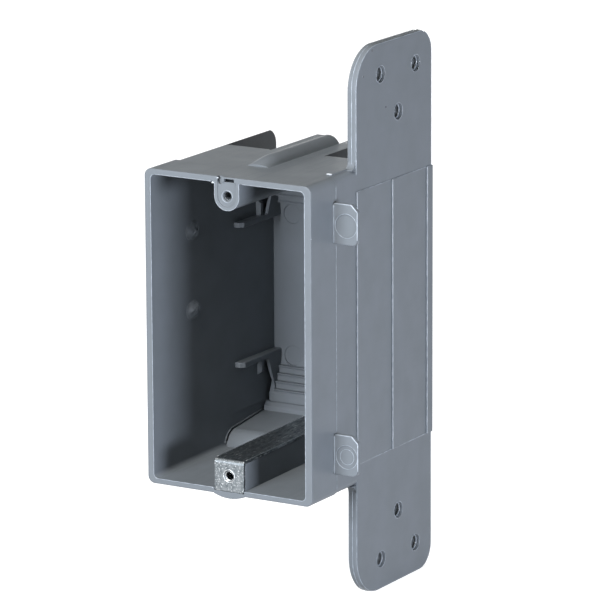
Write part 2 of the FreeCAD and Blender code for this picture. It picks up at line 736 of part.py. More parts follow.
def rear_recess():
    """Shallow recess that sets the back wall in from the rear edges."""
    return block(-POCKET_LEFT, POCKET_RIGHT, BACK_OUTER, BEYOND, -POCKET_ROOT, POCKET_ROOT)


# Lower screw boss and its strap
def boss_top(depth):
    """Level of the boss's top face under the strap, which rises with the inner draft."""
    return -STRAP_TOP - STRAP_THICK + depth * DRAFT


def boss():
    """Boss under the strap, from behind the strap's face to the back wall."""
    front = STRAP_THICK
    half = STRAP_WIDTH / 2 + BOSS_SIDE
    low = -HALF_HEIGHT + END_RIM / 2
    rear = BACK_INNER + BACK_WALL / 2
    step = STRAP_LENGTH + STRAP_SIDE_CLEARANCE
    path = [
        (front, low),
        (front, boss_top(front) - BOSS_CHAMFER),
        (front + BOSS_CHAMFER, boss_top(front + BOSS_CHAMFER)),
        (step, boss_top(step)),
        (step, boss_top(step) + STRAP_THICK),
        (rear, boss_top(rear) + STRAP_THICK),
        (rear, low),
    ]
    return bar_along_x(path, -half, half)


def boss_core():
    """Core of the boss, open to the rear, and the clearance hole for the screw."""
    half = STRAP_WIDTH / 2 + BOSS_SIDE - BOSS_CORE_WALL
    roof = BOSS_CORE_WALL
    path = [
        (BOSS_PLUG, -HALF_HEIGHT + END_RIM),
        (BOSS_PLUG, boss_top(BOSS_PLUG) - roof),
        (BEYOND, boss_top(BEYOND) - roof),
        (BEYOND, -HALF_HEIGHT + END_RIM),
    ]
    core = bar_along_x(path, -half, half)
    front = vector(0, -OVERRUN, -SCREW_LEVEL)
    hole = Part.makeCylinder(BOSS_HOLE_RADIUS, BOSS_PLUG + 2 * OVERRUN, front, vector(0, 1, 0))
    return [core, hole]


def rim_bulge():
    """Shallow rounded ridge under the bottom wall below the strap."""
    half = BULGE_WIDTH / 2
    path = [
        (-half, -HALF_HEIGHT + SINK),
        (-half, -HALF_HEIGHT),
        ((0, -HALF_HEIGHT - BULGE_HEIGHT), (half, -HALF_HEIGHT)),
        (half, -HALF_HEIGHT + SINK),
    ]
    return bar_along_y(path, 0, NOSE_START + FLAP_THICK)


def strap_seat():
    """Notch in the rim that takes the strap's face."""
    half = STRAP_WIDTH / 2 + STRAP_SIDE_CLEARANCE
    low = -STRAP_TOP - STRAP_FACE_HEIGHT - STRAP_SIDE_CLEARANCE
    return block(-half, half, -OVERRUN, STRAP_THICK, low, -STRAP_TOP)


def device_strap():
    """Steel strap: an upright face with a tapped hole, bent back over the boss."""
    low = -STRAP_TOP - STRAP_FACE_HEIGHT
    inner = STRAP_BEND - STRAP_THICK
    turn = 1 - math.sqrt(0.5)
    outer_top = -STRAP_TOP
    inner_top = boss_top(0)
    end = STRAP_LENGTH
    path = [
        (0, low),
        (0, outer_top - STRAP_BEND),
        ((STRAP_BEND * turn, outer_top - STRAP_BEND * turn), (STRAP_BEND, outer_top + STRAP_BEND * DRAFT)),
        (end, outer_top + end * DRAFT),
        (end, inner_top + end * DRAFT),
        (STRAP_THICK + inner, inner_top + (STRAP_THICK + inner) * DRAFT),
        ((STRAP_THICK + inner * turn, inner_top - inner * turn), (STRAP_THICK, inner_top - inner)),
        (STRAP_THICK, low),
    ]
    half = STRAP_WIDTH / 2
    strap = bar_along_x(path, -half, half)
    corners = edges_in_plane(strap, 2, low) + edges_in_plane(strap, 1, end)
    strap = strap.makeFillet(STRAP_CORNER, [edge for edge in corners if edge.Length < 2 * STRAP_THICK])
    front = vector(0, -OVERRUN, -SCREW_LEVEL)
    hole = Part.makeCylinder(SCREW_HOLE_RADIUS, STRAP_THICK + 2 * OVERRUN, front, vector(0, 1, 0))
    mouth = screw_hole_mouth(0, -SCREW_LEVEL, STRAP_HOLE_CHAMFER, STRAP_HOLE_CHAMFER)
    return strap.cut([hole, mouth])


# Moulding marks
def wall_domes():
    """Two low round domes inside the left wall."""
    radius = (DOME_RADIUS ** 2 + DOME_HEIGHT ** 2) / (2 * DOME_HEIGHT)
    domes = []
    for level in DOME_LEVELS:
        centre_x = -wall_inner(DOME_DEPTH) + DOME_HEIGHT - radius
        ball = Part.makeSphere(radius, vector(centre_x, DOME_DEPTH, level))
        inside = block(-HALF_WIDTH + SIDE_RIM / 2, 0, 0, BACK_INNER, level - radius, level + radius)
        domes.append(ball.common(inside))
    return domes


def back_marks():
    """Shallow round ejector marks in the back wall."""
    marks = []
    for side in (-1, 1):
        for level in BACK_MARK_LEVELS:
            centre = vector(side * (HALF_WIDTH - BACK_MARK_INSET), BACK_INNER - OVERRUN, level)
            marks.append(Part.makeCylinder(BACK_MARK_RADIUS, OVERRUN + MARK_DEPTH, centre, vector(0, 1, 0)))
    return marks


def box_body():
    """The whole moulding."""
    body = collar().fuse(housing())
    body = body.fuse([mounting_plate(), rim_bulge(), root_rib(), upside_down(root_rib())])
    body = body.fuse(clapboard_strips())
    body = body.fuse([stop_ear(EAR_LEVEL), stop_ear(-EAR_LEVEL)])
    body = body.removeSplitter()
    body = body.cut(cavity())
    cuts = [rear_recess(), column_core(), upside_down(column_core())]
    cuts += [wall_corner_cut(), upside_down(wall_corner_cut())] + top_notches()
    cuts += all_entry_cuts()
    body = body.cut(cuts)
    fittings = [screw_tunnel(), boss()]
    fittings += entry_fittings()
    fittings += wall_domes()
    body = body.fuse(fittings)
    cuts = screw_tunnel_bore() + boss_core() + [strap_seat()] + nail_holes() + back_marks()
    cuts += [ear_mark(EAR_LEVEL), ear_mark(-EAR_LEVEL)]
    body = body.cut(cuts)
    return body.removeSplitter()


def save(shape, name):
    solids = shape.Solids
    print(name, "solids", len(solids), "valid", shape.isValid(), "volume", round(shape.Volume, 1))
    if len(solids) == 1:
        shape = solids[0]
    shape.exportStep("parts/" + name + ".step")


os.makedirs("parts", exist_ok=True)
save(box_body(), "box_body")
save(device_strap(), "device_strap")
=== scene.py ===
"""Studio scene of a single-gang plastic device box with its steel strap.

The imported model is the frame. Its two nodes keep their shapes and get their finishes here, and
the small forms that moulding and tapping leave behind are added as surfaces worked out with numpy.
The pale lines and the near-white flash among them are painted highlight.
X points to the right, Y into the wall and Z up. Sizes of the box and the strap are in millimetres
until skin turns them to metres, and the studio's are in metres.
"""
import logging
import math
from dataclasses import dataclass
from enum import Enum, IntEnum

import bpy
import numpy as np
from mathutils import Matrix, Vector


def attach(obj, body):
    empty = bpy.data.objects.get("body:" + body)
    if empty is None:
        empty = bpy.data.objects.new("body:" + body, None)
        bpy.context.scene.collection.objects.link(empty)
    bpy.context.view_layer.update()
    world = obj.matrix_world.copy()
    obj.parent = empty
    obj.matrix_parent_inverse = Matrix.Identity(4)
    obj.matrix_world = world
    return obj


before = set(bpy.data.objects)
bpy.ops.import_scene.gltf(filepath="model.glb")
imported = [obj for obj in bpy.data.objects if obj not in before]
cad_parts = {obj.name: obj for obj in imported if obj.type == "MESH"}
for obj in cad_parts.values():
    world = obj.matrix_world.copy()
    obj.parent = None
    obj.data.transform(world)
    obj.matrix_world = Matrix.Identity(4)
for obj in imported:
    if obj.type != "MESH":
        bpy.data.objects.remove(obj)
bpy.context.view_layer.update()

log = logging.getLogger("device_box")

MM = 0.001
BODY = "root"

# The device screws' holes: their radius, their thread's pitch, and their level above or below the middle.
SCREW_RADIUS = 1.4
SCREW_PITCH = 0.794
SCREW_LEVEL = 41.67

# Numbers of a Mix node's inputs for colours, because several of its inputs share a name.
SHARE, FIRST, SECOND = 0, 6, 7

WHITE = (1.0, 1.0, 1.0, 1.0)

Piece = bpy.types.Object
Tree = bpy.types.NodeTree
Point = tuple[float, float, float]
Span = tuple[float, float]
Inputs = dict[str | int, object]


class Slot(Enum):
    """Material slots of the record."""

    MOULDING = "moulding"
    STRAP = "strap_steel"


class Axis(IntEnum):
    """Axes of the frame, by their place in a point."""

    X = 0
    Y = 1
    Z = 2


def linear(hex_colour: str) -> tuple[float, float, float, float]:
    """Turns an sRGB hex colour to linear light.

    Args:
        hex_colour: Colour such as "#7d8389".

    Returns:
        Linear red, green, blue and an alpha of one.
    """
    values = np.array([int(hex_colour[i : i + 2], 16) / 255 for i in (1, 3, 5)])
    low = values / 12.92
    high = ((values + 0.055) / 1.055) ** 2.4
    red, green, blue = np.where(values <= 0.04045, low, high)
    return (float(red), float(green), float(blue), 1.0)


def per_metre(size_mm: float) -> float:
    """Texture scale at which one cell of a pattern is size_mm across."""
    return 1 / (size_mm * MM)


def add_node(
    tree: Tree, kind: str, inputs: Inputs | None = None, **settings: object
) -> bpy.types.Node:
    """Adds a node with its settings, its input values and its links.

    Args:
        tree: Node tree that gets the node.
        kind: Node type, such as "ShaderNodeTexNoise".
        inputs: Values by the input's name or number. A socket is linked, and so is a node, by
            its first output in use.
        **settings: Attributes of the node itself.

    Returns:
        The new node.
    """
    node = tree.nodes.new(kind)
    for name, value in settings.items():
        setattr(node, name, value)
    for name, value in (inputs or {}).items():
        if isinstance(value, bpy.types.Node):
            value = next(output for output in value.outputs if output.enabled)
        if isinstance(value, bpy.types.NodeSocket):
            tree.links.new(value, node.inputs[name])
        else:
            node.inputs[name].default_value = value
    return node


def new_tree(name: str) -> tuple[bpy.types.Material, Tree]:
    """Makes an empty node material.

    Args:
        name: Name of the material.

    Returns:
        The material and its node tree.
    """
    material = bpy.data.materials.new(name)
    material.use_nodes = True
    material.node_tree.nodes.clear()
    return material, material.node_tree


def shade_by(
    tree: Tree, value: bpy.types.Node, span: Span, first: object, second: object, most: float = 1
) -> bpy.types.Node:
    """Mixes two colours by where a pattern's value lies in a span.

    Args:
        tree: Node tree that gets the nodes.
        value: Node that gives the pattern's value.
        span: Value up to which the first colour holds, and value from which the second does.
        first: Linear colour, or a node that gives one.
        second: Linear colour.
        most: Greatest share of the second colour.

    Returns:
        The node that gives the mixed colour.
    """
    low, high = span
    share = add_node(
        tree, "ShaderNodeMapRange", {"Value": value, "From Min": low, "From Max": high, "To Max": most}
    )
    return add_node(tree, "ShaderNodeMix", {SHARE: share, FIRST: first, SECOND: second}, data_type="RGBA")


@dataclass(frozen=True)
class Finish:
    """One finish of the part: its name, its slot, and a pattern that drives one Principled shader."""

    name: str
    slot: Slot = Slot.MOULDING

    def look(self, tree: Tree, place: bpy.types.NodeSocket) -> Inputs:
        """Works out the finish's pattern.

        Args:
            tree: Node tree that gets the pattern's nodes.
            place: Object coordinates.

        Returns:
            Inputs of the Principled shader.
        """
        raise NotImplementedError

    def material(self) -> bpy.types.Material:
        """Gives the finish's material, and makes it when it is first asked for.

        Returns:
            The finished material.
        """
        known = bpy.data.materials.get(self.name)
        if known:
            return known
        material, tree = new_tree(self.name)
        place = add_node(tree, "ShaderNodeTexCoord").outputs["Object"]
        shader = add_node(tree, "ShaderNodeBsdfPrincipled", self.look(tree, place))
        add_node(tree, "ShaderNodeOutputMaterial", {"Surface": shader})
        return material


@dataclass(frozen=True)
class Pvc(Finish):
    """Grey PVC whose shade and gloss drift a little from place to place."""

    colour: str = "#72777c"
    colour_dull: str = "#6e7377"
    shade: Span = (0.3, 0.7)
    ior: float = 1.53
    roughness: float = 0.34
    roughness_spread: float = 0.04
    gloss: Span = (0.25, 0.75)
    cloud_mm: float = 9.0
    cloud_detail: float = 3.0

    def clouded(self, tree: Tree, place: bpy.types.NodeSocket) -> Inputs:
        """Works out the drift of shade and gloss.

        Args:
            tree: Node tree that gets the pattern's nodes.
            place: Object coordinates.

        Returns:
            The Principled shader's colour, roughness and index of refraction.
        """
        cloud = add_node(
            tree,
            "ShaderNodeTexNoise",
            {"Vector": place, "Scale": per_metre(self.cloud_mm), "Detail": self.cloud_detail},
        )
        low, high = self.gloss
        span = {"Value": cloud, "From Min": low, "From Max": high}
        span["To Min"] = self.roughness - self.roughness_spread
        span["To Max"] = self.roughness + self.roughness_spread
        return {
            "Base Color": shade_by(tree, cloud, self.shade, linear(self.colour), linear(self.colour_dull)),
            "Roughness": add_node(tree, "ShaderNodeMapRange", span),
            "IOR": self.ior,
        }


@dataclass(frozen=True)
class MouldedPvc(Pvc):
    """Rigid grey PVC, injection moulded: a satin skin over a faint orange peel.

    The skin's gloss changes a little from place to place, and fine ejection scuffs run along the
    draw, which is the depth of the box. Sharp tool edges come out slightly soft.
    """

    # The eye sees an even mid grey with a soft sheen and faint streaks along the depth.
    # Real peel is about 1 mm wide and real scuffs are hair fine. Both are drawn coarser, to show.
    name: str = "moulded_rigid_pvc"
    specular_level: float = 0.12
    peel_mm: float = 4.0
    peel_depth_mm: float = 0.02
    scuff_mm: Point = (1.2, 34.0, 1.2)
    scuff: Span = (0.5, 0.85)
    scuff_depth_mm: float = 0.002
    scuff_roughness: float = 0.06
    edge_mm: float = 0.32

    def look(self, tree: Tree, place: bpy.types.NodeSocket) -> Inputs:
        """Works out the skin's shade, gloss, scuffs and peel.

        Args:
            tree: Node tree that gets the pattern's nodes.
            place: Object coordinates.

        Returns:
            Inputs of the Principled shader.
        """
        inputs = self.clouded(tree, place)
        drawn = add_node(
            tree, "ShaderNodeMapping", {"Vector": place, "Scale": tuple(map(per_metre, self.scuff_mm))}
        )
        scuffs = add_node(tree, "ShaderNodeTexNoise", {"Vector": drawn, "Scale": 1.0, "Detail": 2.0})
        low, high = self.scuff
        lines = add_node(tree, "ShaderNodeMapRange", {"Value": scuffs, "From Min": low, "From Max": high})
        rough = add_node(tree, "ShaderNodeMath", {0: lines, 1: self.scuff_roughness}, operation="MULTIPLY")
        gloss = inputs["Roughness"]
        inputs["Roughness"] = add_node(tree, "ShaderNodeMath", {0: gloss, 1: rough}, operation="ADD")
        edges = add_node(tree, "ShaderNodeBevel", {"Radius": self.edge_mm * MM}, samples=6)
        peel = add_node(
            tree, "ShaderNodeTexNoise", {"Vector": place, "Scale": per_metre(self.peel_mm), "Detail": 1.0}
        )
        bumpy = add_node(
            tree, "ShaderNodeBump", {"Height": peel, "Distance": self.peel_depth_mm * MM, "Normal": edges}
        )
        sunk = add_node(tree, "ShaderNodeMath", {0: 0.0, 1: lines}, operation="SUBTRACT")
        scratched = {"Height": sunk, "Distance": self.scuff_depth_mm * MM, "Normal": bumpy}
        inputs["Normal"] = add_node(tree, "ShaderNodeBump", scratched)
        inputs["Specular IOR Level"] = self.specular_level
        return inputs


@dataclass(frozen=True)
class GlossyPvc(Pvc):
    """Smoother PVC at tool joints, ejector marks and crowns: shinier. Its pale default colour is painted
    highlight.
    """

    # The eye sees thin bright lines along edges and marks, whose pale colour is painted highlight, and gloss
    # on crowns.
    name: str = "moulded_pvc_painted_edge_highlight"
    # Pale default colour: painted highlight on the fine lines.
    colour: str = "#99a0a7"
    colour_dull: str = "#82888e"
    shade: Span = (0.35, 0.65)
    roughness: float = 0.2
    gloss: Span = (0.3, 0.7)
    cloud_mm: float = 2.0
    cloud_detail: float = 1.0
    ripple_mm: float = 0.8
    ripple_depth_mm: float = 0.03

    def look(self, tree: Tree, place: bpy.types.NodeSocket) -> Inputs:
        """Works out the line's shade, gloss and ripples.

        Args:
            tree: Node tree that gets the pattern's nodes.
            place: Object coordinates.

        Returns:
            Inputs of the Principled shader.
        """
        ripple = add_node(
            tree, "ShaderNodeTexNoise", {"Vector": place, "Scale": per_metre(self.ripple_mm), "Detail": 1.0}
        )
        normal = add_node(tree, "ShaderNodeBump", {"Height": ripple, "Distance": self.ripple_depth_mm * MM})
        return self.clouded(tree, place) | {"Normal": normal}


@dataclass(frozen=True)
class FlashPvcPaintedHighlight(Finish):
    """PVC flash torn off at the parting line, nearly white and matt: the paleness is painted highlight on the
    nubs.
    """

    # The eye sees small chalky specks against the grey; their paleness is painted highlight.
    name: str = "flash_pvc_painted_highlight"
    # Near white: painted highlight on the small nubs.
    colour: str = "#d6dadd"
    colour_root: str = "#9aa0a5"
    shade: Span = (0.35, 0.6)
    ior: float = 1.53
    roughness: float = 0.5
    speck_mm: float = 0.25
    speck_depth_mm: float = 0.03

    def look(self, tree: Tree, place: bpy.types.NodeSocket) -> Inputs:
        """Works out the scrap's specks.

        Args:
            tree: Node tree that gets the pattern's nodes.
            place: Object coordinates.

        Returns:
            Inputs of the Principled shader.
        """
        speck = add_node(
            tree, "ShaderNodeTexNoise", {"Vector": place, "Scale": per_metre(self.speck_mm), "Detail": 2.0}
        )
        colour = shade_by(tree, speck, self.shade, linear(self.colour_root), linear(self.colour))
        normal = add_node(tree, "ShaderNodeBump", {"Height": speck, "Distance": self.speck_depth_mm * MM})
        return {"Base Color": colour, "Roughness": self.roughness, "IOR": self.ior, "Normal": normal}


@dataclass(frozen=True)
class GalvanisedSteel(Finish):
    """Galvanised strip steel, rolled and bent: pale zinc with fine spangle and grey bloom.

    The spangle's grains and the bloom differ in brightness and gloss, both drawn out along the
    strip by rolling, and small bright pits catch the light.
    """

    # The eye sees a lively light metal, mottled dark and pale along its length.
    # Real pits in the zinc are about 0.2 mm wide. They are drawn coarser, to show.
    name: str = "galvanised_strip_steel"
    slot: Slot = Slot.STRAP
    colour: str = "#919699"
    colour_bloom: str = "#4f5558"
    colour_bright: str = "#e4e7e7"
    roughness: Span = (0.3, 0.5)
    spangle_mm: float = 0.9
    spangle_share: float = 0.3
    bloom_mm: float = 1.3
    bloom: Span = (0.35, 0.65)
    bloom_share: float = 0.7
    pit_mm: float = 0.5
    pit: Span = (0.57, 0.7)
    pit_share: float = 0.75
    pit_depth_mm: float = 0.035
    rolled: Point = (1.0, 0.3, 1.0)
    edge_mm: float = 0.25

    def look(self, tree: Tree, place: bpy.types.NodeSocket) -> Inputs:
        """Works out the zinc's spangle, bloom and pits.

        Args:
            tree: Node tree that gets the pattern's nodes.
            place: Object coordinates.

        Returns:
            Inputs of the Principled shader.
        """
        drawn = add_node(tree, "ShaderNodeMapping", {"Vector": place, "Scale": self.rolled})
        spangle = add_node(
            tree, "ShaderNodeTexVoronoi", {"Vector": drawn, "Scale": per_metre(self.spangle_mm)}
        ).outputs["Color"]
        grain = add_node(tree, "ShaderNodeSeparateColor", {"Color": spangle}).outputs["Red"]
        faint = add_node(tree, "ShaderNodeMath", {0: grain, 1: self.spangle_share}, operation="MULTIPLY")
        bloom = add_node(
            tree, "ShaderNodeTexNoise", {"Vector": drawn, "Scale": per_metre(self.bloom_mm), "Detail": 4.0}
        )
        low, high = self.bloom
        cloud = add_node(
            tree,
            "ShaderNodeMapRange",
            {"Value": bloom, "From Min": low, "From Max": high, "To Max": self.bloom_share},
        )
        cover = add_node(tree, "ShaderNodeMath", {0: cloud, 1: faint}, operation="ADD")
        zinc = add_node(
            tree,
            "ShaderNodeMix",
            {SHARE: cover, FIRST: linear(self.colour), SECOND: linear(self.colour_bloom)},
            data_type="RGBA",
        )
        pits = add_node(
            tree, "ShaderNodeTexNoise", {"Vector": drawn, "Scale": per_metre(self.pit_mm), "Detail": 2.0}
        )
        colour = shade_by(tree, pits, self.pit, zinc, linear(self.colour_bright), self.pit_share)
        low, high = self.roughness
        roughness = add_node(tree, "ShaderNodeMapRange", {"Value": cover, "To Min": low, "To Max": high})
        edges = add_node(tree, "ShaderNodeBevel", {"Radius": self.edge_mm * MM}, samples=6)
        normal = add_node(
            tree, "ShaderNodeBump", {"Height": pits, "Distance": self.pit_depth_mm * MM, "Normal": edges}
        )
        return {"Base Color": colour, "Metallic": 1.0, "Roughness": roughness, "Normal": normal}


@dataclass(frozen=True)
class CutSteel(Finish):
    """Freshly tapped steel: bright flanks with fine tool lines round the hole."""

    # The eye sees a small sparkling ring and bright slivers. Its tool lines are drawn coarser, to show.
    name: str = "tapped_bright_steel"
    slot: Slot = Slot.STRAP
    colour: str = "#d9dbdc"
    colour_line: str = "#8d9092"
    shade: Span = (0.4, 0.7)
    roughness: float = 0.42
    line_mm: float = 0.3
    line_depth_mm: float = 0.02

    def look(self, tree: Tree, place: bpy.types.NodeSocket) -> Inputs:
        """Works out the tool lines.

        Args:
            tree: Node tree that gets the pattern's nodes.
            place: Object coordinates.

        Returns:
            Inputs of the Principled shader.
        """
        lines = add_node(
            tree, "ShaderNodeTexNoise", {"Vector": place, "Scale": per_metre(self.line_mm), "Detail": 2.0}
        )
        colour = shade_by(tree, lines, self.shade, linear(self.colour), linear(self.colour_line))
        normal = add_node(tree, "ShaderNodeBump", {"Height": lines, "Distance": self.line_depth_mm * MM})
        return {"Base Color": colour, "Metallic": 1.0, "Roughness": self.roughness, "Normal": normal}


class Look(Enum):
    """Finishes of the box and the strap, by what they cover."""

    SKIN = MouldedPvc()
    # Pale lines along edges, marks and nail holes: painted highlight.
    PAINTED_EDGE_HIGHLIGHT = GlossyPvc()
    CROWN = GlossyPvc(name="moulded_pvc_smooth_crown", colour="#767b80", colour_dull="#6c7175")
    # Paler still: painted highlight on the strips' front edges and the ears' edges and roots.
    PAINTED_BRIGHT_HIGHLIGHT = GlossyPvc(name="moulded_pvc_painted_bright_highlight", colour="#abb2b9", colour_dull="#969da4")
    CHARRED = GlossyPvc(name="charred_pvc_fleck", colour="#565a5f", colour_dull="#494d52")
    FLASH = FlashPvcPaintedHighlight()
    ZINC = GalvanisedSteel()
    TAPPED = CutSteel()


def skin(name: str, rings: np.ndarray, closed: bool = False) -> Piece:
    """Lays quads over rings of points, and turns the whole surface so that it faces outwards.

    Each ring is closed on itself. The last ring joins the first if closed is set, and otherwise a
    fan to the middle of its ring closes each end. The sign of the volume, the sum of a.(b x c)
    over all triangles, tells which way the surface faces.

    Args:
        name: Name of the piece.
        rings: Points in millimetres, shaped (rings, points in a ring, 3).
        closed: True where the last ring joins the first.

    Returns:
        The new object, at the origin, with its mesh in metres.
    """
    rings = rings * MM
    count, around, _ = rings.shape
    index = np.arange(count * around).reshape(count, around)
    index = np.concatenate([index, index[:, :1]], axis=1)
    points = rings.reshape(-1, 3)
    fans = np.zeros((0, 3), int)
    if closed:
        index = np.concatenate([index, index[:1]], axis=0)
    else:
        first, last = len(points), len(points) + 1
        points = np.concatenate([points, rings[:1].mean(axis=1), rings[-1:].mean(axis=1)])
        start = np.column_stack([index[0, 1:], index[0, :-1], np.full(around, first)])
        end = np.column_stack([index[-1, :-1], index[-1, 1:], np.full(around, last)])
        fans = np.concatenate([start, end])
    quads = np.stack([index[:-1, :-1], index[:-1, 1:], index[1:, 1:], index[1:, :-1]], axis=-1).reshape(-1, 4)
    corners = points[np.concatenate([quads[:, [0, 1, 2]], quads[:, [0, 2, 3]], fans])] - points.mean(axis=0)
    volume = np.einsum("ij,ij->", corners[:, 0], np.cross(corners[:, 1], corners[:, 2]))
    if volume < 0:
        quads = quads[:, ::-1]
        fans = fans[:, ::-1]
    mesh = bpy.data.meshes.new(name)
    mesh.from_pydata(points.tolist(), [], quads.tolist() + fans.tolist())
    mesh.polygons.foreach_set("use_smooth", np.ones(len(mesh.polygons), bool))
    mesh.update()
    piece = bpy.data.objects.new(name, mesh)
    bpy.context.scene.collection.objects.link(piece)
    return piece


def dress(pieces: list[Piece], look: Look) -> None:
    """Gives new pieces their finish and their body.

    Args:
        pieces: Finished pieces.
        look: Their finish.
    """
    for piece in pieces:
        piece.data.materials.append(look.value.material())
        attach(piece, BODY)
        log.info("piece %s: %d faces", piece.name, len(piece.data.polygons))


def finish_node(name: str, look: Look) -> None:
    """Gives a CAD node its finish.

    Args:
        name: Name of the node.
        look: Its finish.
    """
    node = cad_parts[name]
    material = look.value.material()
    if not node.material_slots:
        node.data.materials.append(material)
    for slot in node.material_slots:
        slot.material = material
    log.info("node %s: %s", name, material.name)


def in_plane(outline: np.ndarray, axis: Axis, level: float) -> np.ndarray:
    """Puts a flat outline in space, in a plane across one axis.

    Args:
        outline: Points shaped (count, 2), on the two other axes in their order.
        axis: Axis that the plane lies across.
        level: The plane's place on that axis, in millimetres.

    Returns:
        Points shaped (count, 3).
    """
    return np.insert(outline, axis, level, axis=1)


def bead(
    name: str, outline: np.ndarray, axis: Axis, level: float, radius: float, closed: bool = False
) -> Piece:
    """Fine round bead along an outline that lies in a plane across one axis.

    At each point p of the outline the section is a circle, p + r (a cos t + n sin t), where a is
    the axis, and n is the outline's tangent turned a quarter round the axis.

    Args:
        name: Name of the piece.
        outline: Points shaped (count, 2), in millimetres, on the two other axes in their order.
        axis: Axis that the outline's plane lies across.
        level: The plane's place on that axis, in millimetres.
        radius: Radius of the bead, in millimetres.
        closed: True where the outline joins its own start.

    Returns:
        The new object.
    """
    path = in_plane(outline, axis, level)
    if closed:
        tangent = np.roll(path, -1, axis=0) - np.roll(path, 1, axis=0)
    else:
        tangent = np.gradient(path, axis=0)
    tangent /= np.linalg.norm(tangent, axis=1, keepdims=True)
    across = np.eye(3)[axis]
    normal = np.cross(tangent, across)
    turn = np.linspace(0, 2 * np.pi, 8, endpoint=False)[None, :, None]
    rings = path[:, None] + radius * (across * np.cos(turn) + normal[:, None] * np.sin(turn))
    return skin(name, rings, closed)


def circle(centre: Span, radius: float, count: int = 48) -> np.ndarray:
    """Works out a circle, c + r (cos t, sin t).

    Args:
        centre: Middle of the circle, in millimetres.
        radius: Radius, in millimetres.
        count: Number of points.

    Returns:
        Points shaped (count, 2).
    """
    t = np.linspace(0, 2 * np.pi, count, endpoint=False)
    return np.array(centre) + radius * np.column_stack([np.cos(t), np.sin(t)])


def polyline(corners: list[Span], step: float = 1.0) -> np.ndarray:
    """Fills a row of straight runs with points about one step apart.

    Args:
        corners: Corners of the row, in millimetres.
        step: Distance between points, in millimetres.

    Returns:
        Points shaped (count, 2).
    """
    ends = np.array(corners, float)
    runs = [
        np.linspace(start, end, max(int(np.linalg.norm(end - start) / step), 2), endpoint=False)
        for start, end in zip(ends[:-1], ends[1:])
    ]
    return np.concatenate(runs + [ends[-1:]])


def rounded_outline(low: Span, high: Span, radii: tuple[float, ...], steps: int = 16) -> np.ndarray:
    """Works out a rectangle with rounded corners as one closed row of points.

    Corner k is a quarter circle from angle 180 + 90 k to 270 + 90 k degrees round its own centre,
    and points 1 mm apart fill the straight sides between the corners.

    Args:
        low: Least depth and level, in millimetres.
        high: Greatest depth and level, in millimetres.
        radii: Radii at the low-low, high-low, high-high and low-high corners.
        steps: Number of points round a corner.

    Returns:
        Points shaped (count, 2).
    """
    signs = np.array([(-1, -1), (1, -1), (1, 1), (-1, 1)])
    corners = np.where(signs < 0, np.array(low), np.array(high)).astype(float)
    sizes = np.array(radii)[:, None]
    centres = corners - signs * sizes
    angles = np.radians(180 + 90 * np.arange(4)[:, None] + np.linspace(0, 90, steps)[None, :])
    arcs = centres[:, None] + sizes[:, :, None] * np.stack([np.cos(angles), np.sin(angles)], axis=-1)
    ends = np.roll(arcs, -1, axis=0)[:, 0]
    sides = [
        arc[-1] + (end - arc[-1]) * np.linspace(0, 1, max(int(np.linalg.norm(end - arc[-1])), 2))[1:-1, None]
        for arc, end in zip(arcs, ends)
    ]
    return np.concatenate([part for pair in zip(arcs, sides) for part in pair])


@dataclass(frozen=True)
class Thread:
    """Thread in a hole along Y: a triangular ridge that winds round the wall and fades at both ends.

    A point at turn angle u and section point (inward, along) is at radius - inward fade(u) and
    y = pitch u / (2 pi) + pitch / 2 + along fade(u), where fade rises from 0.08 to 1 over the
    first and last sixth of a turn. The section is given in shares of the depth and of the pitch.
    """

    name: str
    front: Point
    depth: float
    length: float
    inward: tuple[float, ...] = (-0.15, 0.0, 0.85, 1.0, 0.85, 0.0)
    along: tuple[float, ...] = (0.0, -0.42, -0.08, 0.0, 0.08, 0.42)
    least_fade: float = 0.08
    fade_turn: float = np.pi / 3
    steps_a_turn: int = 36
    least_steps: int = 24

    def build(self) -> Piece:
        """Builds the ridge's mesh.

        Returns:
            The new object.
        """
        turns = (self.length - SCREW_PITCH) / SCREW_PITCH
        u = np.linspace(0, 2 * np.pi * turns, max(int(self.steps_a_turn * turns), self.least_steps))
        fade = np.clip(np.minimum(u, u[-1] - u) / self.fade_turn, self.least_fade, 1.0)[:, None]
        r = SCREW_RADIUS - self.depth * np.array(self.inward) * fade
        y = SCREW_PITCH * (u[:, None] / (2 * np.pi) + 0.5 + np.array(self.along) * fade)
        points = np.stack([r * np.cos(u)[:, None], y, r * np.sin(u)[:, None]], axis=-1)
        return skin(self.name, points + np.array(self.front))


@dataclass(frozen=True)
class Scrap:
    """Small uneven blob: a scrap of flash at a parting line, or a fleck in a face.

    The blob is an ellipsoid whose radius is changed by 1 + uneven sin(3a + seed) sin(2b + seed),
    a being the angle round it and b the angle from pole to pole.
    """

    name: str
    centre: Point
    radii: Point
    seed: float
    uneven: float = 0.18
    pole: float = 0.12

    def build(self) -> Piece:
        """Builds the blob's mesh.

        Returns:
            The new object.
        """
        rows = np.linspace(self.pole, np.pi - self.pole, 12)
        b, a = np.meshgrid(rows, np.linspace(0, 2 * np.pi, 18, endpoint=False), indexing="ij")
        bulge = 1 + self.uneven * np.sin(3 * a + self.seed) * np.sin(2 * b + self.seed)
        ball = np.stack([np.sin(b) * np.cos(a), np.sin(b) * np.sin(a), np.cos(b)], axis=-1)
        return skin(self.name, ball * bulge[..., None] * np.array(self.radii) + np.array(self.centre))


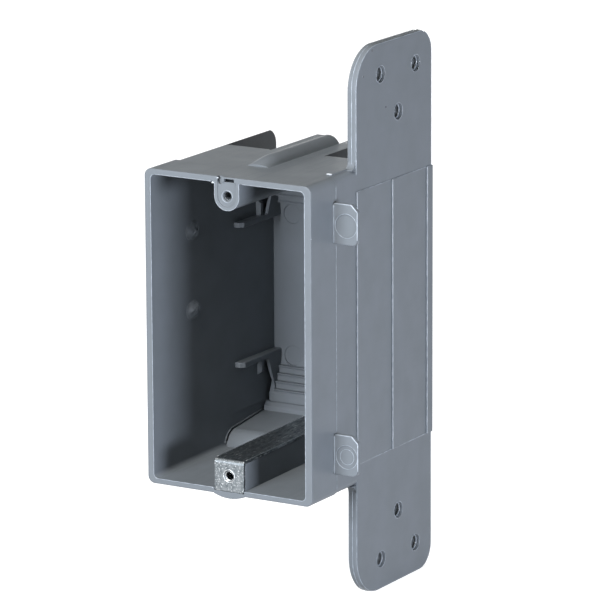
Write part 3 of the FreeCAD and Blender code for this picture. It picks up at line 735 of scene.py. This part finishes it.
@dataclass(frozen=True)
class Mouth:
    """The box's open front: its rim, its collar and the lobe with the upper device screw's hole."""

    line: float = 0.12
    rim_inner: Span = (26.0, 45.8)
    rim_corner: float = 1.5
    rim_gap: float = 5.2
    lobe_radius: float = 4.1
    lobe_line_y: float = 0.05
    lobe_face_y: float = 0.3
    hole_line_gap: float = 0.4
    thread_sunk: float = 0.2
    thread_depth: float = 0.2
    thread_length: float = 6.0
    collar_rear: Span = (28.08, 14.3)
    collar_spans: tuple[tuple[str, float, float], ...] = (
        ("upper", 40.8, 45.2),
        ("middle", -28.0, 28.0),
        ("lower", -45.2, -40.8),
    )

    def thread(self) -> Piece:
        """Builds the thread in the lobe's hole."""
        front = (0.0, self.lobe_face_y + self.thread_sunk, SCREW_LEVEL)
        return Thread("lobe_thread", front, self.thread_depth, self.thread_length).build()

    def rim_lines(self) -> list[Piece]:
        """Builds the lines round the mouth, one on each side of the lobe.

        Returns:
            The new pieces.
        """
        half_x, half_z = self.rim_inner
        corner = self.rim_corner
        turn = np.radians(np.linspace(0, 90, 10))[1:-1]
        low = np.column_stack([np.sin(turn), -np.cos(turn)]) * corner + (half_x - corner, corner - half_z)
        high = low[::-1] * (1, -1)
        bottom = polyline([(self.rim_gap, -half_z), (half_x - corner, -half_z)])
        side = polyline([(half_x, -half_z + corner), (half_x, half_z - corner)])
        top = polyline([(half_x - corner, half_z), (self.rim_gap, half_z)])
        right = np.concatenate([bottom, low, side, high, top])
        return [
            bead("rim_line_right", right, Axis.Y, 0.0, self.line),
            bead("rim_line_left", right * (-1, 1), Axis.Y, 0.0, self.line),
        ]

    def lobe_lines(self) -> list[Piece]:
        """Builds the lines round the lobe and round its hole.

        Returns:
            The new pieces.
        """
        radius = self.lobe_radius
        top = self.rim_inner[1]
        turn = np.radians(np.linspace(180, 360, 30))[1:-1]
        bow = np.column_stack([np.cos(turn), np.sin(turn)]) * radius + (0, SCREW_LEVEL)
        left = polyline([(-radius, top), (-radius, SCREW_LEVEL)])
        right = polyline([(radius, SCREW_LEVEL), (radius, top)])
        hole = circle((0, SCREW_LEVEL), SCREW_RADIUS + self.hole_line_gap)
        return [
            bead("lobe_line", np.concatenate([left, bow, right]), Axis.Y, self.lobe_line_y, self.line),
            bead("lobe_hole_line", hole, Axis.Y, self.lobe_face_y, self.line, closed=True),
        ]

    def collar_lines(self) -> list[Piece]:
        """Builds the lines along the collar's rear edge, between and beyond the ears.

        Returns:
            The new pieces.
        """
        x, y = self.collar_rear
        return [
            bead(f"collar_line_{label}", polyline([(y, low), (y, high)]), Axis.X, x, self.line)
            for label, low, high in self.collar_spans
        ]

    def dress(self) -> None:
        """Builds and finishes the mouth's pieces."""
        dress([self.thread()], Look.SKIN)
        # The pale lines round the mouth, the lobe and the collar are painted highlight.
        dress(self.rim_lines() + self.lobe_lines() + self.collar_lines(), Look.PAINTED_EDGE_HIGHLIGHT)


@dataclass(frozen=True)
class Plate:
    """The side mounting plate: its edge, its raised strips, its nail holes, its feet and its flecks."""

    line: float = 0.12
    low: Span = (27.0, -82.55)
    high: Span = (71.8, 82.55)
    radii: tuple[float, float, float, float] = (12.5, 7.0, 7.0, 12.5)
    middle_x: float = 25.9
    edge_x: float = 27.3
    edge_inset: float = 0.2
    face_x: float = 27.5
    strip_fronts: Point = (27.0, 47.8, 68.6)
    strip_rear: float = 71.6
    strip_half: float = 40.9
    strip_x: float = 27.7
    strip_drop: float = 0.2
    strip_line: float = 0.26
    strip_end_line: float = 0.15
    nail_holes: tuple[Span, ...] = ((41.1, 73.3), (61.8, 73.3), (51.45, 60.6))
    nail_ring: float = 2.6
    nail_ring_line: float = 0.13
    nail_throat: float = 2.28
    nail_throat_x: float = 26.5
    nail_throat_line: float = 0.28
    foot_corner: Span = (27.0, 47.6)
    foot_radius: float = 2.0
    foot_sunk: float = 0.35
    foot_sides: Span = (24.6, 27.1)

    def foot(self, label: str, side: int) -> Piece:
        """Builds the hollow round where the plate's front edge meets the box.

        The section is a quarter circle, c + r (cos t, -sin t), closed by two legs that are sunk in the
        plate and in the box, and it is carried straight along X.

        Args:
            label: Which end of the plate it is at.
            side: 1 above the box, -1 below it.

        Returns:
            The new object.
        """
        front, level = self.foot_corner
        radius, sunk = self.foot_radius, self.foot_sunk
        turn = np.radians(np.linspace(0, 90, 14))
        hollow = np.column_stack([np.cos(turn), -np.sin(turn)]) * radius + (front - radius, level + radius)
        inner = np.linspace([front - radius, level - sunk], [front + sunk, level - sunk], 14)
        outer = np.linspace([front + sunk, level - sunk], [front + sunk, level + radius], 14)[1:]
        section = np.concatenate([hollow, inner, outer]) * (1, side)
        rings = np.stack([in_plane(section, Axis.X, x) for x in np.linspace(*self.foot_sides, 6)])
        return skin(f"plate_foot_{label}", rings)

    def outlines(self) -> list[Piece]:
        """Builds the parting line round the plate's middle and the line round its outer face.

        Returns:
            The new pieces.
        """
        parting = rounded_outline(self.low, self.high, self.radii)
        inset = self.edge_inset
        low = tuple(value + inset for value in self.low)
        high = tuple(value - inset for value in self.high)
        edge = rounded_outline(low, high, tuple(radius - inset for radius in self.radii))
        return [
            bead("plate_parting_line", parting, Axis.X, self.middle_x, self.line, closed=True),
            bead("plate_edge_line", edge, Axis.X, self.edge_x, self.line, closed=True),
        ]

    def strip_lines(self) -> list[Piece]:
        """Builds the rounds along the strips' front edges.

        Returns:
            The new pieces.
        """
        # Pale rounds: painted highlight along the strips' front edges.
        half = self.strip_half
        pieces = []
        for number, front in enumerate(self.strip_fronts, 1):
            edge = polyline([(front, -half), (front, half)])
            pieces.append(bead(f"strip_line_{number}", edge, Axis.X, self.strip_x, self.strip_line))
        return pieces

    def strip_ends(self) -> list[Piece]:
        """Builds the fine rounds along the two ends of each strip, which slope with its face.

        Returns:
            The new pieces.
        """
        pieces = []
        width = self.strip_fronts[1] - self.strip_fronts[0]
        for number, front in enumerate(self.strip_fronts, 1):
            rear = min(front + width, self.strip_rear)
            slope = np.linspace((self.strip_x, front), (self.strip_x - self.strip_drop, rear), 24)
            for end, level in (("upper", self.strip_half), ("lower", -self.strip_half)):
                pieces.append(bead(f"strip_end_{end}_{number}", slope, Axis.Z, level, self.strip_end_line))
        return pieces

    def nail_lines(self) -> list[Piece]:
        """Builds a ring round the mouth of each nail hole and one inside its throat.

        Returns:
            The new pieces.
        """
        # The pale ring at each mouth and the one in each throat paint the hole's highlights.
        rings = (
            ("ring", self.nail_ring, self.face_x, self.nail_ring_line),
            ("throat", self.nail_throat, self.nail_throat_x, self.nail_throat_line),
        )
        pieces = []
        for end, sign in (("upper", 1), ("lower", -1)):
            for number, (depth, level) in enumerate(self.nail_holes, 1):
                for part, radius, x, line in rings:
                    ring = circle((depth, sign * level), radius)
                    pieces.append(bead(f"nail_{part}_{end}_{number}", ring, Axis.X, x, line, closed=True))
        return pieces

    def flecks(self) -> list[Piece]:
        """Builds the flecks of charred resin in the plate's outer face.

        Returns:
            The new pieces.
        """
        x = self.face_x
        flecks = (
            Scrap("fleck_1", (x, 36.3, 81.1), (0.05, 0.42, 0.34), 0.2),
            Scrap("fleck_2", (x, 31.2, 74.2), (0.05, 0.34, 0.3), 1.7),
            Scrap("fleck_3", (x, 44.3, 63.1), (0.05, 0.36, 0.26), 2.9),
        )
        return [fleck.build() for fleck in flecks]

    def dress(self) -> None:
        """Builds and finishes the plate's pieces."""
        dress([self.foot("upper", 1), self.foot("lower", -1)], Look.SKIN)
        # The pale lines along the plate's edges, strip ends and nail holes are painted highlight.
        dress(self.outlines() + self.strip_ends() + self.nail_lines(), Look.PAINTED_EDGE_HIGHLIGHT)
        # The strips' paler front edges are painted highlight.
        dress(self.strip_lines(), Look.PAINTED_BRIGHT_HIGHLIGHT)
        dress(self.flecks(), Look.CHARRED)


@dataclass(frozen=True)
class Ear:
    """One stop ear: its edges, its root and the rims of its ejector mark, all pale lines of painted
    highlight.
    """

    label: str
    level: float
    double_mark: bool = False
    half: float = 6.0
    root_x: float = 28.4
    tip_x: float = 36.0
    face_y: float = 12.7
    low_corner: float = 1.8
    high_corner: float = 2.0
    line: float = 0.17
    line_lift: float = 0.1
    root_line: float = 0.13
    root_front: float = 0.35
    root_out: float = 0.05
    root_inset: float = 0.4
    mark_x: float = 32.35
    mark_drop: float = 0.3
    mark_radius: float = 3.58
    mark_line: float = 0.09
    inner_radius: float = 2.3
    inner_sunk: float = 0.2
    inner_line: float = 0.08

    def edges(self) -> list[Piece]:
        """Builds the line over the ear's tip and top, and the line along its root.

        Returns:
            The new pieces.
        """
        low, high = self.level - self.half, self.level + self.half
        root, tip = self.root_x, self.tip_x
        cut = self.high_corner
        edge = polyline([(tip, low + self.low_corner), (tip, high - cut), (tip - cut, high), (root, high)])
        y = self.face_y - self.root_front
        foot = polyline([(y, low + self.root_inset), (y, high - self.root_inset)])
        return [
            bead(f"ear_line_{self.label}", edge, Axis.Y, self.face_y + self.line_lift, self.line),
            bead(f"ear_root_{self.label}", foot, Axis.X, root + self.root_out, self.root_line),
        ]

    def mark(self) -> list[Piece]:
        """Builds the rim of the ejector mark, and its inner rim on an ear that has two.

        Returns:
            The new pieces.
        """
        rings = [("ring", self.mark_radius, self.face_y, self.mark_line)]
        if self.double_mark:
            rings.append(("inner_ring", self.inner_radius, self.face_y + self.inner_sunk, self.inner_line))
        pieces = []
        for part, radius, y, line in rings:
            ring = circle((self.mark_x, self.level - self.mark_drop), radius)
            pieces.append(bead(f"ear_mark_{part}_{self.label}", ring, Axis.Y, y, line, closed=True))
        return pieces

    def dress(self) -> None:
        """Builds and finishes the ear's pieces."""
        # The mark's pale rims and the ear's paler edges are painted highlight.
        dress(self.mark(), Look.PAINTED_EDGE_HIGHLIGHT)
        dress(self.edges(), Look.PAINTED_BRIGHT_HIGHLIGHT)


@dataclass(frozen=True)
class Inside:
    """The box's inside: the edge of the lower left shelf, and the crowns of two low domes."""

    shelf_x: float = -25.32
    shelf_line: float = 0.2
    nose_start: Span = (38.8, -45.0)
    nose_size: Span = (6.1, 5.0)
    nose_turn: float = 0.12
    flap_tip: Span = (60.9, -38.3)
    dome_x: float = -25.72
    dome_y: float = 22.8
    dome_levels: Span = (24.7, 0.6)
    dome_radii: Span = (4.2, 3.2)
    dome_height: float = 0.9
    dome_back: float = 0.3

    def shelf_edge(self) -> Piece:
        """Builds the bead along the shelf: a nose that rises like a quarter ellipse, then the flap.

        Returns:
            The new object.
        """
        turn = np.linspace(self.nose_turn, np.pi / 2, 20)
        nose = np.column_stack([1 - np.cos(turn), np.sin(turn)]) * self.nose_size + self.nose_start
        flap = np.linspace(nose[-1], np.array(self.flap_tip), 18)[1:]
        edge = np.concatenate([nose, flap])
        return bead("slot_edge_lower_left", edge, Axis.X, self.shelf_x, self.shelf_line)

    def crown(self, number: int, level: float) -> Piece:
        """Builds the thin uneven oval lens on one dome, which bulges along X from the wall.

        At distance s from the middle, as a share of the way to the rim, and angle t, the lens stands
        height (1 - s^2)^2 (1 + 0.25 sin(3t + k) sin(6s + k) + 0.2 sin(5t - k) s) above its rim, k
        being the dome's number, and its back is flat.

        Args:
            number: Number of the dome.
            level: Level of its middle, in millimetres.

        Returns:
            The new object.
        """
        around = np.linspace(0, 2 * np.pi, 60, endpoint=False)
        s, t = np.meshgrid(np.linspace(0.04, 1, 22), around, indexing="ij")
        dents = 0.25 * np.sin(3 * t + number) * np.sin(6 * s + number)
        lean = 0.2 * np.sin(5 * t - number) * s
        lift = self.dome_height * (1 - s**2) ** 2 * (1 + dents + lean)
        across, up = self.dome_radii[0] * s * np.cos(t), self.dome_radii[1] * s * np.sin(t)
        front = np.stack([lift, across, up], axis=-1)
        back = np.stack([np.full_like(lift, -self.dome_back), across, up], axis=-1)[::-1]
        rings = np.concatenate([front, back]) + (self.dome_x, self.dome_y, level)
        return skin(f"dome_crown_{number}", rings)

    def dress(self) -> None:
        """Builds and finishes the pieces inside the box."""
        dress([self.shelf_edge()], Look.SKIN)
        dress([self.crown(number, level) for number, level in enumerate(self.dome_levels, 1)], Look.CROWN)


@dataclass(frozen=True)
class Moulding:
    """The grey box, one moulding, with the small marks that the tool leaves on it."""

    mouth: Mouth = Mouth()
    plate: Plate = Plate()
    ears: tuple[Ear, Ear] = (Ear("upper", 34.35), Ear("lower", -34.35, double_mark=True))
    inside: Inside = Inside()
    flash: tuple[Scrap, ...] = (
        Scrap("flash_at_gate", (-4.7, 0.25, 45.4), (0.5, 0.3, 0.3), 0.4),
        Scrap("flash_at_gate_top", (-3.6, 0.35, 46.9), (0.8, 0.35, 0.3), 1.3),
        Scrap("flash_on_rib", (24.4, 16.9, 47.7), (0.9, 0.5, 0.25), 2.2),
        Scrap("flash_on_rim", (27.9, 0.3, 32.3), (0.2, 0.2, 0.5), 3.1),
    )

    def dress(self) -> None:
        """Finishes the box, then builds and finishes its pieces."""
        finish_node("box_body", Look.SKIN)
        for part in (self.mouth, self.plate, *self.ears, self.inside):
            part.dress()
        # The flash scraps' near-white colour is painted highlight.
        dress([scrap.build() for scrap in self.flash], Look.FLASH)


@dataclass(frozen=True)
class Strap:
    """The bent steel strap with its tapped hole and the burrs along its sheared edges."""

    thickness: float = 0.9
    half_width: float = 4.95
    top_level: float = -36.7
    top_front: float = 1.6
    top_rear: float = 51.0
    top_slope: float = 0.01396
    thread_front: float = -0.25
    thread_depth: float = 0.13
    thread_extra: float = 0.7
    hole_ring: float = 1.86
    ring_line: float = 0.14
    burr: float = 0.1

    def hole(self) -> list[Piece]:
        """Builds the thread in the hole and the bright ring round it.

        Returns:
            The new pieces.
        """
        front = (0.0, self.thread_front, -SCREW_LEVEL)
        thread = Thread("strap_thread", front, self.thread_depth, self.thickness + self.thread_extra)
        ring = circle((0, -SCREW_LEVEL), self.hole_ring)
        return [thread.build(), bead("strap_hole_ring", ring, Axis.Y, 0.0, self.ring_line, closed=True)]

    def burrs(self) -> list[Piece]:
        """Builds the burr along each side of the strap's top.

        Returns:
            The new pieces.
        """
        edge = polyline([(y, self.top_level + y * self.top_slope) for y in (self.top_front, self.top_rear)])
        return [
            bead(f"strap_burr_{label}", edge, Axis.X, side, self.burr)
            for label, side in (("left", -self.half_width), ("right", self.half_width))
        ]

    def dress(self) -> None:
        """Finishes the strap, then builds and finishes its pieces."""
        finish_node("device_strap", Look.ZINC)
        dress(self.hole() + self.burrs(), Look.TAPPED)


@dataclass(frozen=True)
class SoftBox:
    """Soft lamp: its middle, its target and its width and height in metres, and its power in watts."""

    name: str
    place: Point
    target: Point
    size: Span
    power: float
    colour: str = "#ffffff"

    def build(self) -> None:
        """Adds the lamp to the scene, turned to its target."""
        data = bpy.data.lights.new(self.name, "AREA")
        data.shape = "RECTANGLE"
        data.size, data.size_y = self.size
        data.energy = self.power
        data.color = linear(self.colour)[:3]
        lamp = bpy.data.objects.new(self.name, data)
        place = Vector(self.place)
        turn = (Vector(self.target) - place).to_track_quat("-Z", "Y")
        lamp.matrix_world = Matrix.Translation(place) @ turn.to_matrix().to_4x4()
        bpy.context.scene.collection.objects.link(lamp)


@dataclass(frozen=True)
class Studio:
    """Camera, soft lamps, pale floor and plain surroundings."""

    azimuth: float = 31.687
    elevation: float = 13.758
    roll: float = -0.495
    distance: float = 1.404
    lens: float = 290.62
    sensor: float = 36.0
    aim_right: float = 0.02092
    aim_up: float = 0.01085
    view_depth: float = 20.0
    floor_level: float = -0.08255
    floor_half: float = 4.0
    floor_colour: str = "#a2a2a2"
    floor_glow: float = 0.9
    ambient: float = 0.01
    matt: float = 0.5
    flag_colour: str = "#101010"
    flag_y: float = 2.5
    flag_sides: Span = (-3.4, 2.2)
    flag_levels: Span = (0.6, 3.2)
    lamps: tuple[SoftBox, ...] = (
        SoftBox("key_front", (-0.17, -1.05, 0.28), (0.0, 0.0, 0.0), (0.42, 0.5), 14.0, "#eef5ff"),
        SoftBox("front_fill", (-0.006, -1.1, 0.08), (0.0, 0.0, 0.0), (0.07, 0.34), 3.6, "#f6f9ff"),
        SoftBox("front_top", (0.01, -0.53, 0.85), (0.0, 0.02, 0.0), (0.12, 0.5), 7.6, "#fffdf8"),
        SoftBox("side_right_low", (0.58, -0.13, -0.013), (0.0, 0.02, -0.013), (0.2, 0.115), 3.4, "#ebf2ff"),
        SoftBox("side_left", (-1.15, 0.35, 0.22), (0.0, 0.04, 0.0), (0.6, 0.6), 7.0),
        SoftBox("back_low", (-0.4, 1.25, 0.03), (0.0, 0.07, 0.0), (0.5, 0.14), 6.0),
    )

    def camera(self) -> None:
        """Places the camera at the photograph's viewing angle and aims it at the picture's middle."""
        azimuth, elevation, roll = map(math.radians, (self.azimuth, self.elevation, self.roll))
        outward = Vector((math.sin(azimuth), -math.cos(azimuth), 0))
        back = outward * math.cos(elevation) + Vector((0, 0, math.sin(elevation)))
        level = Vector((math.cos(azimuth), math.sin(azimuth), 0))
        upright = back.cross(level)
        right = level * math.cos(roll) + upright * math.sin(roll)
        up = upright * math.cos(roll) - level * math.sin(roll)
        place = back * self.distance
        out = (place - right * self.aim_right - up * self.aim_up).normalized()
        right = (right - out * right.dot(out)).normalized()
        up = out.cross(right)
        data = bpy.data.cameras.new("studio_camera")
        data.sensor_width = self.sensor
        data.lens = self.lens
        data.clip_end = self.view_depth
        camera = bpy.data.objects.new("studio_camera", data)
        camera.matrix_world = Matrix.Translation(place) @ Matrix((right, up, out)).transposed().to_4x4()
        bpy.context.scene.collection.objects.link(camera)
        bpy.context.scene.camera = camera

    def card(self, name: str, corners: list[Point], material: bpy.types.Material) -> Piece:
        """Makes one flat card of the studio.

        Args:
            name: Name of the card.
            corners: Its four corners in order, in metres.
            material: Its material.

        Returns:
            The new object.
        """
        mesh = bpy.data.meshes.new(name)
        mesh.from_pydata(corners, [], [(0, 1, 2, 3)])
        card = bpy.data.objects.new(name, mesh)
        bpy.context.scene.collection.objects.link(card)
        card.data.materials.append(material)
        return card

    def flag(self) -> None:
        """Stands a black card far behind the box, above the camera's view, and out of its sight.

        It keeps the white backdrop out of the gloss of the faces seen at a grazing angle.
        """
        material, tree = new_tree("matt_black_card")
        black = linear(self.flag_colour)
        paint = add_node(tree, "ShaderNodeBsdfDiffuse", {"Color": black, "Roughness": self.matt})
        add_node(tree, "ShaderNodeOutputMaterial", {"Surface": paint})
        left, right = self.flag_sides
        low, high = self.flag_levels
        y = self.flag_y
        corners = [(left, y, low), (right, y, low), (right, y, high), (left, y, high)]
        self.card("studio_flag", corners, material).visible_camera = False

    def seen_directly(self, tree: Tree) -> bpy.types.Node:
        """Tells the rays that show the background.

        Args:
            tree: Node tree that gets the nodes.

        Returns:
            A node that gives one for camera, glossy and transmission rays, and zero for the rest.
        """
        rays = add_node(tree, "ShaderNodeLightPath").outputs
        shown = rays["Is Camera Ray"]
        for kind in ("Is Glossy Ray", "Is Transmission Ray"):
            shown = add_node(tree, "ShaderNodeMath", {0: shown, 1: rays[kind]}, operation="MAXIMUM")
        return shown

    def surroundings(self) -> None:
        """Makes the world: white where it is seen or reflected, and a dim grey light elsewhere."""
        world = bpy.data.worlds.new("plain_studio")
        bpy.context.scene.world = world
        world.use_nodes = True
        tree = world.node_tree
        tree.nodes.clear()
        shown = self.seen_directly(tree)
        strength = add_node(tree, "ShaderNodeMapRange", {"Value": shown, "To Min": self.ambient})
        glow = add_node(tree, "ShaderNodeBackground", {"Color": WHITE, "Strength": strength})
        add_node(tree, "ShaderNodeOutputWorld", {"Surface": glow})

    def floor(self) -> None:
        """Lays the floor that the plate's lower end stands on. It shows white and keeps the shadow."""
        material, tree = new_tree("matt_white_floor")
        pale = linear(self.floor_colour)
        paint = add_node(tree, "ShaderNodeBsdfDiffuse", {"Color": pale, "Roughness": self.matt})
        shown = self.seen_directly(tree)
        strength = add_node(tree, "ShaderNodeMath", {0: shown, 1: self.floor_glow}, operation="MULTIPLY")
        glow = add_node(tree, "ShaderNodeEmission", {"Color": WHITE, "Strength": strength})
        both = add_node(tree, "ShaderNodeAddShader", {0: paint, 1: glow})
        add_node(tree, "ShaderNodeOutputMaterial", {"Surface": both})
        half, level = self.floor_half, self.floor_level
        corners = [(-half, -half, level), (half, -half, level), (half, half, level), (-half, half, level)]
        self.card("studio_floor", corners, material)

    def build(self) -> None:
        """Builds the whole studio."""
        bpy.context.scene.view_settings.view_transform = "Standard"
        self.camera()
        self.surroundings()
        self.floor()
        self.flag()
        for lamp in self.lamps:
            lamp.build()
        log.info("studio: %d lamps", len(self.lamps))


def main() -> None:
    """Builds the studio, then dresses the moulding and the strap."""
    logging.basicConfig(level=logging.INFO)
    Studio().build()
    Moulding().dress()
    Strap().dress()


if __name__ == "__main__":
    main()
